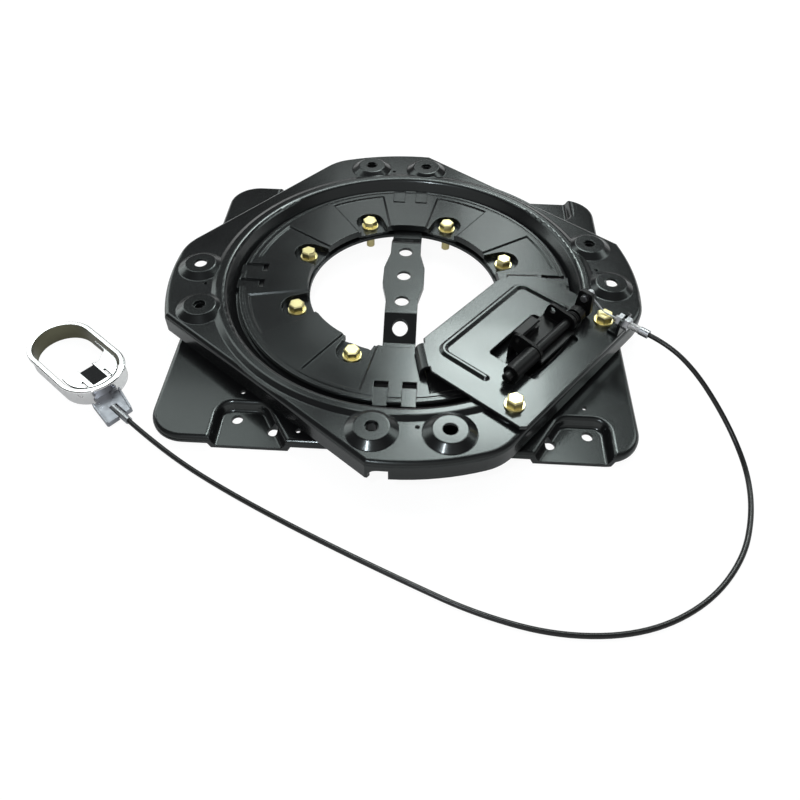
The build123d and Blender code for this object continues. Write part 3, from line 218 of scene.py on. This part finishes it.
# %% [markdown]
# ## The lamps
# A lamp does two jobs here: it lights matt surfaces, and its face is mirrored in the gloss. The
# reflections in the photograph suggest where each one hung. The lock plate mirrors a bright
# softbox, the far rim mirrors two long dimmer ones behind it, the front of the seat plate and the
# handle mirror broad ones overhead, the rolled edges catch two lower ones at the sides, and the
# small spots on the bosses come from a hard lamp above the camera, to its left. One big lamp
# would be simpler, but then every flat face would be equally grey.

# %% Lamps
CEILING = 1.3
MIDDLE = (0.0, 0.0, 0.03)
LAMP_COLOUR = (0.93, 1.0, 0.985)
SPOT_COLOUR = (0.88, 0.94, 1.0)


def softbox(name, place, aim, width, depth, brightness, colour=LAMP_COLOUR):
    """A lamp with a flat face that looks at a point; brightness is how bright the face itself is."""
    data = bpy.data.lights.new(name, "AREA")
    data.shape = "RECTANGLE"
    data.size = width
    data.size_y = depth
    data.energy = brightness * pi * width * depth
    data.color = colour
    lamp = bpy.data.objects.new(name, data)
    bpy.context.scene.collection.objects.link(lamp)
    turn = (Vector(aim) - Vector(place)).to_track_quat("-Z", "Y")
    lamp.matrix_world = Matrix.Translation(place) @ turn.to_matrix().to_4x4()
    return lamp


def overhead(name, x, y, width, depth, brightness):
    """A softbox at the ceiling that looks straight down."""
    return softbox(name, (x, y, CEILING), (x, y, 0), width, depth, brightness)


lamps = [
    overhead("main lamp", 0.2, 1.08, 0.42, 0.5, 17.5),
    overhead("back lamp", 0.3, 1.85, 0.3, 0.9, 4.0),
    overhead("dim back lamp", -0.18, 1.78, 0.42, 1.1, 1.7),
    overhead("front lamp", 0.14, 0.58, 0.78, 0.46, 4.0),
    overhead("handle lamp", -0.85, 0.75, 0.9, 0.6, 2.5),
    overhead("far handle lamp", -1.28, 1.18, 0.66, 0.56, 1.5),
    softbox("left lamp", (-0.95, 0.5, 0.42), MIDDLE, 0.5, 0.5, 2.2),
    softbox("right lamp", (0.85, 0.4, 0.75), MIDDLE, 0.5, 0.5, 3.0),
    softbox("spot lamp", (-0.18, -0.575, 0.77), MIDDLE, 0.06, 0.06, 180.0, SPOT_COLOUR),
]
print("lamps:", len(lamps))

# %% [markdown]
# ## Paint and plate
# Nearly everything is pressed steel under semi-gloss black paint. Sprayed paint has a faint
# orange peel and never quite the same gloss everywhere, so a fine noise moves the surface a few
# hundredths of a millimetre and a wide one shifts the gloss. Sheet metal has no knife edges
# either: the Bevel node rounds the shading of each sharp edge by a fraction of a millimetre,
# where it catches light.

# %% Finishes
NOISE_LOW = 0.3
NOISE_HIGH = 0.7


def finish_shader(name, colour, metallic, roughness):
    """A material with its one colour and shine set on the shader's own sockets."""
    finish = bpy.data.materials.new(name)
    finish.use_nodes = True
    shader = finish.node_tree.nodes["Principled BSDF"]
    shader.inputs["Base Color"].default_value = (*colour, 1)
    shader.inputs["Metallic"].default_value = metallic
    shader.inputs["Roughness"].default_value = roughness
    return finish, shader


def add_grain(finish, shader, scale, strength, depth, edge):
    """A fine noise on the surface, over edges that are rounded in shading."""
    tree = finish.node_tree
    place = tree.nodes.new("ShaderNodeTexCoord")
    noise = tree.nodes.new("ShaderNodeTexNoise")
    noise.inputs["Scale"].default_value = scale
    noise.inputs["Detail"].default_value = 2.0
    tree.links.new(place.outputs["Object"], noise.inputs["Vector"])
    bump = tree.nodes.new("ShaderNodeBump")
    bump.inputs["Strength"].default_value = strength
    bump.inputs["Distance"].default_value = depth
    tree.links.new(noise.outputs["Fac"], bump.inputs["Height"])
    rounding = tree.nodes.new("ShaderNodeBevel")
    rounding.samples = 6
    rounding.inputs["Radius"].default_value = edge
    tree.links.new(rounding.outputs["Normal"], bump.inputs["Normal"])
    tree.links.new(bump.outputs["Normal"], shader.inputs["Normal"])


def vary_gloss(finish, shader, scale, low, high):
    """A wide, soft change of gloss over the surface."""
    tree = finish.node_tree
    place = tree.nodes.new("ShaderNodeTexCoord")
    noise = tree.nodes.new("ShaderNodeTexNoise")
    noise.inputs["Scale"].default_value = scale
    noise.inputs["Detail"].default_value = 3.0
    tree.links.new(place.outputs["Object"], noise.inputs["Vector"])
    span = tree.nodes.new("ShaderNodeMapRange")
    span.inputs["From Min"].default_value = NOISE_LOW
    span.inputs["From Max"].default_value = NOISE_HIGH
    span.inputs["To Min"].default_value = low
    span.inputs["To Max"].default_value = high
    tree.links.new(noise.outputs["Fac"], span.inputs["Value"])
    tree.links.new(span.outputs["Result"], shader.inputs["Roughness"])


finishes = {}
finish, shader = finish_shader("black paint", (0.0075, 0.0075, 0.008), 0.0, 0.22)
shader.inputs["Specular Tint"].default_value = (0.91, 1.0, 0.985, 1)
shader.inputs["Coat Weight"].default_value = 0.14
shader.inputs["Coat Roughness"].default_value = 0.08
vary_gloss(finish, shader, 14.0, 0.18, 0.26)
add_grain(finish, shader, 700.0, 0.08, 0.0003, 0.0009)
finishes["black_paint"] = finish
finish, shader = finish_shader("black oxide", (0.003, 0.003, 0.0032), 0.0, 0.4)
shader.inputs["Specular IOR Level"].default_value = 0.22
add_grain(finish, shader, 900.0, 0.1, 0.0003, 0.0005)
finishes["black_oxide"] = finish
finish, shader = finish_shader("yellow zinc plate", (0.88, 0.78, 0.4), 1.0, 0.24)
vary_gloss(finish, shader, 160.0, 0.32, 0.4)
add_grain(finish, shader, 1400.0, 0.06, 0.0002, 0.0004)
finishes["yellow_zinc"] = finish
finish, shader = finish_shader("bright zinc plate", (0.5, 0.51, 0.53), 1.0, 0.28)
vary_gloss(finish, shader, 160.0, 0.28, 0.42)
add_grain(finish, shader, 1400.0, 0.06, 0.0002, 0.0003)
finishes["bright_zinc"] = finish
finish, shader = finish_shader("dull zinc plate", (0.3, 0.31, 0.34), 1.0, 0.3)
vary_gloss(finish, shader, 220.0, 0.24, 0.42)
add_grain(finish, shader, 1400.0, 0.06, 0.0002, 0.0006)
finishes["dull_zinc"] = finish
finish, shader = finish_shader("chrome", (0.9, 0.9, 0.9), 1.0, 0.1)
add_grain(finish, shader, 300.0, 0.03, 0.0002, 0.0006)
finishes["chrome"] = finish
finish, shader = finish_shader("black plastic", (0.005, 0.005, 0.006), 0.0, 0.55)
shader.inputs["Specular IOR Level"].default_value = 0.15
add_grain(finish, shader, 1800.0, 0.2, 0.0002, 0.0004)
finishes["black_plastic"] = finish
finish, shader = finish_shader("black sheath", (0.007, 0.007, 0.007), 0.0, 0.32)
finishes["black_sheath"] = finish
finish, shader = finish_shader("glide plastic", (0.02, 0.02, 0.02), 0.0, 0.5)
finishes["glide_plastic"] = finish
print("finishes:", sorted(finishes))

# %% [markdown]
# ## Painting the pieces
# The record names a finish for each piece, so the painting is one loop over the pieces and no
# list is kept twice. Only the fork is told apart here: it has the same plating as the adjuster,
# but in the photograph it is duller. The handle and the adjuster get more below.

# %% Paint the pieces
DULLER = {"cable_fork": "dull_zinc"}
slot_of = {entry["node"]: entry["material_slot"] for entry in frame["record"]["subparts"]}
for name, piece in nodes.items():
    piece.data.materials.clear()
    piece.data.materials.append(finishes[DULLER.get(name, slot_of[name])])
print("painted:", len(nodes))

# %% [markdown]
# ## The inside of the handle
# The bezel is chromed, and inside it mirrors the dark hollow of the handle, which makes it look dull
# and olive. That dark reflection is painted: a second bezel would be wasteful, so the same mesh
# carries two finishes, and the faces that look in towards the finger hole get a dull olive metal,
# a painted reflection. The bezel is an oval round a straight core, and an inner face looks back at
# the nearest point of it.

# %% Handle bezel
HANDLE_U = -151.98
HANDLE_V = -247.32
HANDLE_CORE = 21.5
LOOKS_IN = -0.5
# The dull olive metal on the inner faces is a painted reflection of the handle's dark hollow.
finish, shader = finish_shader("painted dark reflection", (0.16, 0.155, 0.105), 1.0, 0.34)
add_grain(finish, shader, 500.0, 0.1, 0.0003, 0.0004)
bezel = nodes["handle_bezel"]
bezel.data.materials.append(finish)
middle = seat_point(HANDLE_U, HANDLE_V, 0)
along = seat_point(1000, 0, 0).normalized()
core = HANDLE_CORE * MM
inside = 0
for face in bezel.data.polygons:
    offset = face.center - middle
    offset.z = 0
    run = offset.dot(along)
    outward = offset - along * max(-core, min(core, run))
    if outward.length > 0 and face.normal.dot(outward.normalized()) < LOOKS_IN:
        face.material_index = 1
        inside += 1
print("inner faces:", inside)

# %% [markdown]
# ## The paddle's cut edges
# A paddle like this could be stamped from plated sheet. Its edges and the walls of its two slits
# get a dark grey finish, which is painted shade and painted dark reflection: it draws the dark
# outline along them. Modelling the edge as a piece of its own would gain nothing: again the same
# mesh carries a second finish. The faces to change lie above the plate's under side, and they
# stand upright or face the paddle's free end.

# %% Paddle edges
PADDLE_UNDER = 12.5
UPRIGHT = 0.5
FREE_END = -0.2
# The dark grey finish on the edge faces is painted shade and painted dark reflection along the
# paddle's edges.
finish, shader = finish_shader("cut edge", (0.045, 0.045, 0.042), 0.6, 0.45)
paddle = nodes["handle_paddle"]
paddle.data.materials.append(finish)
dark = 0
for face in paddle.data.polygons:
    raised = face.center.z > PADDLE_UNDER * MM
    if raised and (abs(face.normal.z) < UPRIGHT or face.normal.dot(along) < FREE_END):
        face.material_index = 1
        dark += 1
print("cut faces:", dark)

# %% [markdown]
# ## The adjuster's thread
# The adjuster is a threaded sleeve. A real helix would cost thousands of faces for ridges less
# than two pixels apart, so a bump stands in: a wave that runs along the seat plate's own u axis.
# The Wave texture runs through WAVE_FACTOR radians in each unit of length, which sets its scale.

# %% Adjuster
THREAD_PITCH = 0.00125
THREAD_BUMP = 0.0006
WAVE_FACTOR = 20
finish, shader = finish_shader("threaded zinc", (0.66, 0.66, 0.66), 1.0, 0.3)
tree = finish.node_tree
place = tree.nodes.new("ShaderNodeTexCoord")
turned = tree.nodes.new("ShaderNodeMapping")
turned.inputs["Rotation"].default_value = (0, 0, -SEAT_TURN)
tree.links.new(place.outputs["Object"], turned.inputs["Vector"])
wave = tree.nodes.new("ShaderNodeTexWave")
wave.wave_type = "BANDS"
wave.bands_direction = "X"
wave.inputs["Scale"].default_value = 2 * pi / (WAVE_FACTOR * THREAD_PITCH)
tree.links.new(turned.outputs["Vector"], wave.inputs["Vector"])
bump = tree.nodes.new("ShaderNodeBump")
bump.inputs["Strength"].default_value = 0.6
bump.inputs["Distance"].default_value = THREAD_BUMP
tree.links.new(wave.outputs["Fac"], bump.inputs["Height"])
tree.links.new(bump.outputs["Normal"], shader.inputs["Normal"])
adjuster = nodes["cable_adjuster"]
adjuster.data.materials.clear()
adjuster.data.materials.append(finish)
print("thread pitch:", THREAD_PITCH)

# %% [markdown]
# ## The pull cable
# The cable leaves the adjuster on the lock, drops to the floor outside the plate and comes round
# to the handle. A mesh tube would do, but a curve with a round bevel keeps the bends even with few
# points. Those on the floor are given as an angle and a distance from the reach of the floor
# plate's corners: the cable turns with the seat, and it has to stay clear of them all the way.

# %% Cable
SHEATH = 0.004
CORNER_REACH = 250.24
FLOOR_LINE = 2.05
LOCK_LINE = 51.0
HANDLE_LINE = 4.0
STOP_U = (208, 226)
STOP_V = 63
FERRULE_U = (HANDLE_U + 110, HANDLE_U + 84)
FERRULE_V = HANDLE_V - 8
drop = [(252, 61, 42), (278, 56, 27), (303, 46, 13), (326, 27, 4.2)]
sweep = [
    (359.5, 92.8), (353.2, 106.2), (345.6, 112.1), (337.5, 107.1), (328.9, 88.5), (320.3, 61.5),
    (311.34, 33.8), (301.23, 14.0), (290.78, 2.9), (279.92, -0.7), (269.8, 2.0),
]
route = [(u, STOP_V, LOCK_LINE) for u in STOP_U] + drop
for angle, beyond in sweep:
    reach = CORNER_REACH + beyond
    route.append((reach * cos(radians(angle)), reach * sin(radians(angle)), FLOOR_LINE))
route += [(u, FERRULE_V, HANDLE_LINE) for u in FERRULE_U]
curve = bpy.data.curves.new("cable", "CURVE")
curve.dimensions = "3D"
line = curve.splines.new("NURBS")
line.points.add(len(route) - 1)
for point, place in zip(line.points, route):
    point.co = (*seat_point(*place), 1)
line.order_u = 3
line.use_endpoint_u = True
line.resolution_u = 8
curve.bevel_depth = SHEATH / 2
curve.bevel_resolution = 4
curve.use_fill_caps = True
cable = bpy.data.objects.new("cable_sheath", curve)
bpy.context.scene.collection.objects.link(cable)
curve.materials.append(finishes["black_sheath"])
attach(cable, "turntable")
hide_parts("cable")
print("cable points:", len(route))

# %% [markdown]
# ## Finishing
# Pressed sheet is smooth over its bends and sharp at its cut edges, so faces are shaded smooth up
# to an angle and no further.

# %% Finish
SMOOTH_ANGLE = radians(30)
bpy.context.scene.view_settings.view_transform = "Standard"
for piece in nodes.values():
    bpy.ops.object.select_all(action="DESELECT")
    if not piece.hide_viewport:
        piece.select_set(True)
        bpy.context.view_layer.objects.active = piece
        bpy.ops.object.shade_smooth_by_angle(angle=SMOOTH_ANGLE)
bpy.context.view_layer.update()
